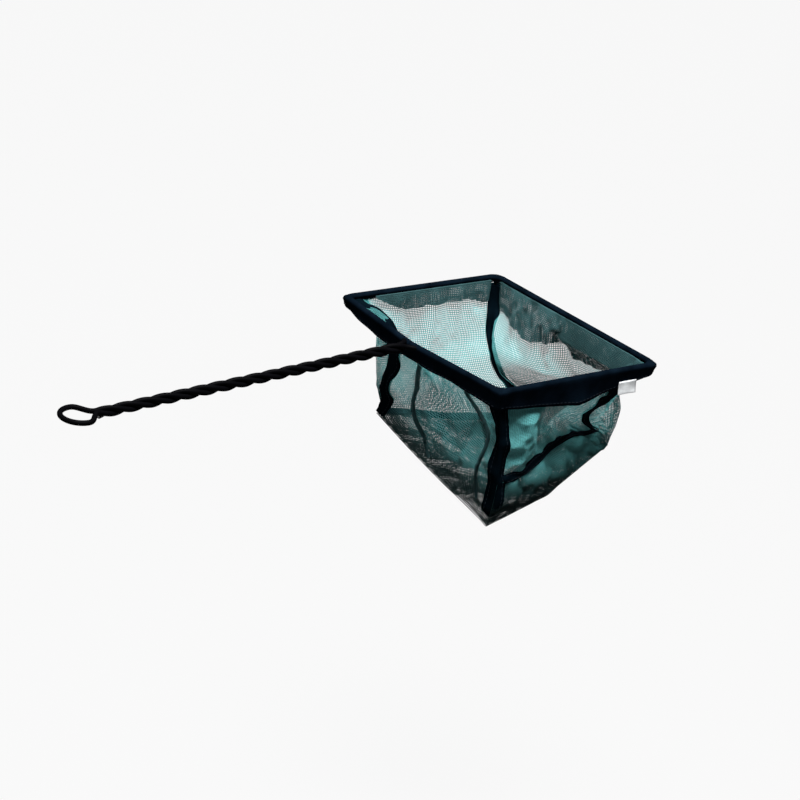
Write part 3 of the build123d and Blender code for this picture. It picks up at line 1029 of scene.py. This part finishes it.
def tape_rings(node):
    """A tape that wraps its seam on both sides, with a slightly wavy edge."""
    first, second, first_out, second_out = tape_legs(node)
    half = fish_net().cloth.tape_thickness
    middle, middle_out = (first[:, 0] + second[:, 0]) / 2, unit(first_out + second_out)
    wave = wavy(lengths(middle), (0.12, 4.3, 0), (0.08, 2.6, 1))[:, None]
    first[:, 3] += (first[:, 3] - first[:, 2]) * wave
    second[:, 3] -= (second[:, 3] - second[:, 2]) * wave
    outside, inside = [], []
    ribs = [(first[:, k], first_out) for k in (3, 2, 1)] + [(middle, middle_out)]
    ribs += [(second[:, k], second_out) for k in (1, 2, 3)]
    for (points, out), share in zip(ribs, (0.7, 1, 1, 1, 1, 1, 0.7)):
        outside.append(points + out * half * share)
        inside.append(points - out * half * share)
    return np.stack(outside + inside[::-1], 1)


def stitch_tree():
    """Stitches at an even pitch along the edges of a mesh."""
    tree, source, output = node_tree("stitches", {"Pitch": "Float", "Length": "Float", "Thread": "Float"})
    pitch, length, thread = (source.outputs[label] for label in ("Pitch", "Length", "Thread"))
    line = added(tree, "GeometryNodeMeshToCurve", Mesh=source)
    places = added(tree, "GeometryNodeCurveToPoints", {"mode": "LENGTH"}, Curve=line, Length=pitch)
    turn = added(tree, "FunctionNodeAlignRotationToVector", {"axis": "Z"}, Vector=places.outputs["Tangent"])
    bead = added(tree, "GeometryNodeMeshUVSphere", Segments=6, Rings=4, Radius=0.5)
    size = added(tree, "ShaderNodeCombineXYZ", X=thread, Y=thread, Z=length)
    sewn = added(
        tree, "GeometryNodeInstanceOnPoints", Points=places, Instance=bead, Rotation=turn, Scale=size
    )
    real = added(tree, "GeometryNodeRealizeInstances", Geometry=sewn)
    smooth = added(tree, "GeometryNodeSetShadeSmooth", Geometry=real, Shade_Smooth=True)
    return finished(tree, smooth, source, output)


def stitches(name, lines):
    """One row of stitches along each line."""
    edges, first = [], 0
    for line in lines:
        edges += chain(len(line), first)
        first += len(line)
    return made(
        new_piece(name, np.vstack(lines), edges=edges),
        tree_named("stitches", stitch_tree),
        pitch=2.4 * MM,
        length=1.9 * MM,
        thread=0.35 * MM,
        material=material_named("sewing_thread", stitch_material),
    )


def hang_from_mouth(piece):
    """The piece with its place baked into its mesh."""
    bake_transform(piece)


class FISHNET_OT_coated_wire(bpy.types.Operator):
    """Bend the coated wire into handle, mouth and eye"""

    bl_idname = "fishnet.coated_wire"
    bl_label = "Coated wire"

    def execute(self, context):
        wire = context.scene.fish_net.wire
        for node, points in wire_stretches().items():
            points = spread(points, round(lengths(points)[-1] / wire.step))
            piece = made(
                new_piece(node.replace("coating", "coat"), points, edges=chain(len(points))),
                tree_named("round_wire", wire_tree),
                radius=wire.coat / 2,
                sides=wire.sides,
                material=material_named("wire_coat", coat_material),
            )
            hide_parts(node)
            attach(piece, "net_frame")
        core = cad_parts["steel_wire"]
        core.data.materials.clear()
        core.data.materials.append(material_named("drawn_steel", steel_material))
        return {"FINISHED"}


class FISHNET_OT_net_bag(bpy.types.Operator):
    """Hang the net bag from the mouth"""

    bl_idname = "fishnet.net_bag"
    bl_label = "Net bag"

    def execute(self, context):
        teal = material_named("net_thread", net_material)
        made_up = bag_grids()
        for name, panel in hung_panels().items():
            grids, flatness = [panel], WALL_FLATNESS
            # The floor gets a second layer of net as painted shade, to darken it
            if name == "net_floor":
                grids, flatness = [panel, panel + SHADE_LAYER], FLOOR_FLATNESS
            piece = net_piece(name.replace("net_", "mesh_"), grids, flatness, teal)
            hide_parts(name)
            grid, _, slack = made_up[name]
            (width, length), area = cut_size(grid, slack)
            self.hang(piece, (width, length * len(grids)), area * len(grids))
        # The turned-in edge and the pleats take a copy of the net thread darkened with painted shade
        shaded_thread_material = material_named("edge_thread", shaded_net_material)
        for number, (points, width) in enumerate(PLEATS, 1):
            strip = pleat(points, width)
            self.hang(net_piece(f"pleat_{number}", [strip], WALL_FLATNESS, shaded_thread_material), *cut_size(strip))
        for name in TURNED_IN:
            layers, inside, flat, area = turned_edge(name)
            piece = net_piece(name.replace("net_", "edge_"), layers, WALL_FLATNESS, shaded_thread_material, inside)
            self.hang(piece, flat, area)
        return {"FINISHED"}

    def hang(self, piece, flat, area):
        """One sheet of net, with its place baked into its mesh."""
        hang_from_mouth(piece)


class FISHNET_OT_hem(bpy.types.Operator):
    """Fold the hem ribbon over the mouth wire"""

    bl_idname = "fishnet.hem"
    bl_label = "Hem"

    def execute(self, context):
        thickness = context.scene.fish_net.cloth.hem_thickness
        ribbon = material_named("hem_ribbon", ribbon_material)
        rows = []
        for node in HEMS:
            grid = hem_grid(node)
            piece = grid_piece(node.replace("hem", "ribbon"), grid, thickness, ribbon)
            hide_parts(node)
            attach(piece, "net_frame")
            _, _, out, _ = hem_frames(node)
            rows.append((grid[:, 1] + out * thickness / 2)[2:-2])
            rows.append((grid[:, -2] - out * thickness / 2)[2:-2])
        sewing = stitches("hem_stitches", rows)
        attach(sewing, "net_frame")
        return {"FINISHED"}


class FISHNET_OT_binding_tape(bpy.types.Operator):
    """Bind the seams of the bag with tape"""

    bl_idname = "fishnet.binding_tape"
    bl_label = "Binding tape"

    def execute(self, context):
        half = context.scene.fish_net.cloth.tape_thickness
        binding = material_named("seam_binding", tape_material)
        rows = []
        for node in TAPES:
            piece = ring_piece(node.replace("_tape", "_binding"), tape_rings(node), binding)
            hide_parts(node)
            hang_from_mouth(piece)
            first, second, first_out, second_out = tape_legs(node)
            rows.append((first[:, 2] + first_out * half)[2:-2])
            rows.append((second[:, 2] + second_out * half)[2:-2])
        sewing = stitches("tape_stitches", rows)
        hang_from_mouth(sewing)
        return {"FINISHED"}


class FISHNET_OT_side_tag(bpy.types.Operator):
    """Sew the bare tag under the right hem"""

    bl_idname = "fishnet.side_tag"
    bl_label = "Side tag"

    def execute(self, context):
        low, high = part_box("side_tag")
        middle = (low.y + high.y) / 2
        gap, thickness, fold_at, fold_depth = 0.16 * MM, 0.12 * MM, 0.93, 0.05
        curl_out, ripple, ripple_length = -0.9 * MM, 0.25 * MM, 3.2 * MM
        drop = high.z - low.z
        xs = np.linspace(low.x, high.x, 13)
        legs = [(gap, t) for t in np.linspace(0, fold_at, 9)]
        turn = np.linspace(0, math.pi, 5)
        fold = [(gap * math.cos(a), fold_at + fold_depth * math.sin(a)) for a in turn[1:-1]]
        rows = []
        for side, t in legs + fold + [(-gap, t) for _, t in legs[::-1]]:
            curl = curl_out * t**2 + ripple * np.sin((xs - low.x) / ripple_length) * t
            rows.append(np.stack([xs, middle + side + curl, high.z - drop * t + 0 * xs], 1))
        satin = material_named("tag_satin", tag_material)
        piece = grid_piece("bare_tag", np.stack(rows, 1), thickness, satin)
        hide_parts("side_tag")
        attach(piece, "tag")
        return {"FINISHED"}


class FISHNET_OT_stage(bpy.types.Operator):
    """Set the floor, the light and the camera"""

    bl_idname = "fishnet.stage"
    bl_label = "Stage"

    def execute(self, context):
        scene = context.scene
        scene.view_settings.view_transform = "Standard"
        self.add_floor()
        self.add_light(scene)
        self.add_camera(scene)
        return {"FINISHED"}

    def end_tree(self, tree, end, share, others, seen):
        """The end of a tree: one shader for the share of camera rays, another for the other rays."""
        mix = tree.nodes.new("ShaderNodeMixShader")
        for socket, value in zip(mix.inputs, (share, others.outputs[0], seen.outputs[0])):
            tree.links.new(value, socket)
        tree.links.new(mix.outputs[0], tree.nodes[end].inputs["Surface"])

    def add_floor(self):
        """A pale floor below the net."""
        z, reach = mouth_z - FLOOR_DROP, FLOOR_REACH
        corners = [(-reach, -reach, z), (reach, -reach, z), (reach, reach, z), (-reach, reach, z)]
        floor = new_piece("floor", corners, faces=[(0, 1, 2, 3)])
        found, tree, shader = material("pale_floor", (0.12, 0.12, 0.12), 0.9)
        ray = tree.nodes.new("ShaderNodeLightPath")
        share = added(tree, "ShaderNodeMath", {"operation": "MULTIPLY"})
        share.inputs[1].default_value = FLOOR_GLOW
        tree.links.new(ray.outputs["Is Camera Ray"], share.inputs[0])
        glow = tree.nodes.new("ShaderNodeEmission")
        self.end_tree(tree, "Material Output", share.outputs[0], shader, glow)
        floor.data.materials.append(found)

    def add_light(self, scene):
        """A white surround and one broad lamp above the mouth."""
        world = bpy.data.worlds.new("studio")
        world.use_nodes = True
        scene.world = world
        tree = world.node_tree
        ray = tree.nodes.new("ShaderNodeLightPath")
        back = tree.nodes["Background"]
        back.inputs["Color"].default_value = (1, 1, 1, 1)
        back.inputs["Strength"].default_value = SURROUND
        white = added(tree, "ShaderNodeBackground", Color=(1, 1, 1, 1))
        self.end_tree(tree, "World Output", ray.outputs["Is Camera Ray"], back, white)
        lamp = bpy.data.lights.new("top_lamp", "AREA")
        lamp.energy = LAMP_WATTS
        lamp.size = LAMP_SIZE
        obj = bpy.data.objects.new("top_lamp", lamp)
        aim = Vector((near_x, 0, mouth_z))
        obj.location = aim + Vector(LAMP_PLACE)
        obj.rotation_euler = (aim - obj.location).to_track_quat("-Z", "Y").to_euler()
        scene.collection.objects.link(obj)

    def add_camera(self, scene):
        """The camera that sees the net as the photograph does."""
        azimuth, elevation, roll = (math.radians(turn) for turn in CAMERA_TURNS)
        x, y, level = math.cos(azimuth), math.sin(azimuth), math.cos(elevation)
        right = Vector((x, y, 0))
        back = Vector((y * level, -x * level, math.sin(elevation)))
        up = back.cross(right)
        camera = bpy.data.cameras.new("camera")
        camera.lens = CAMERA_LENS
        camera.sensor_width = 36
        obj = bpy.data.objects.new("camera", camera)
        side = right * math.cos(roll) + up * math.sin(roll)
        top = up * math.cos(roll) - right * math.sin(roll)
        turn = Matrix((side, top, back)).transposed()
        obj.matrix_world = Matrix.Translation(Vector(at_mouth(CAMERA_PLACE))) @ turn.to_4x4()
        scene.collection.objects.link(obj)
        scene.camera = obj


class FISHNET_PT_sidebar(bpy.types.Panel):
    """The steps and settings of the fish net"""

    bl_idname = "FISHNET_PT_sidebar"
    bl_label = "Fish net"
    bl_space_type = "VIEW_3D"
    bl_region_type = "UI"
    bl_category = "Fish net"

    def draw(self, context):
        for step in STEPS:
            self.layout.operator(step.bl_idname)
        net = context.scene.fish_net
        for group in (net.wire, net.cloth, net.colours):
            box = self.layout.box()
            for key in group.__annotations__:
                box.prop(group, key)


STEPS = (
    FISHNET_OT_coated_wire,
    FISHNET_OT_hem,
    FISHNET_OT_net_bag,
    FISHNET_OT_binding_tape,
    FISHNET_OT_side_tag,
    FISHNET_OT_stage,
)
CLASSES = (WireSizes, ClothSizes, NetColours, FishNet, *STEPS, FISHNET_PT_sidebar)


def register():
    for cls in CLASSES:
        bpy.utils.register_class(cls)
    bpy.types.Scene.fish_net = PointerProperty(type=FishNet)


def unregister():
    del bpy.types.Scene.fish_net
    for cls in reversed(CLASSES):
        bpy.utils.unregister_class(cls)


def main():
    register()
    bpy.ops.fishnet.coated_wire()
    bpy.ops.fishnet.hem()
    bpy.ops.fishnet.net_bag()
    bpy.ops.fishnet.binding_tape()
    bpy.ops.fishnet.side_tag()
    bpy.ops.fishnet.stage()


if __name__ == "__main__":
    main()
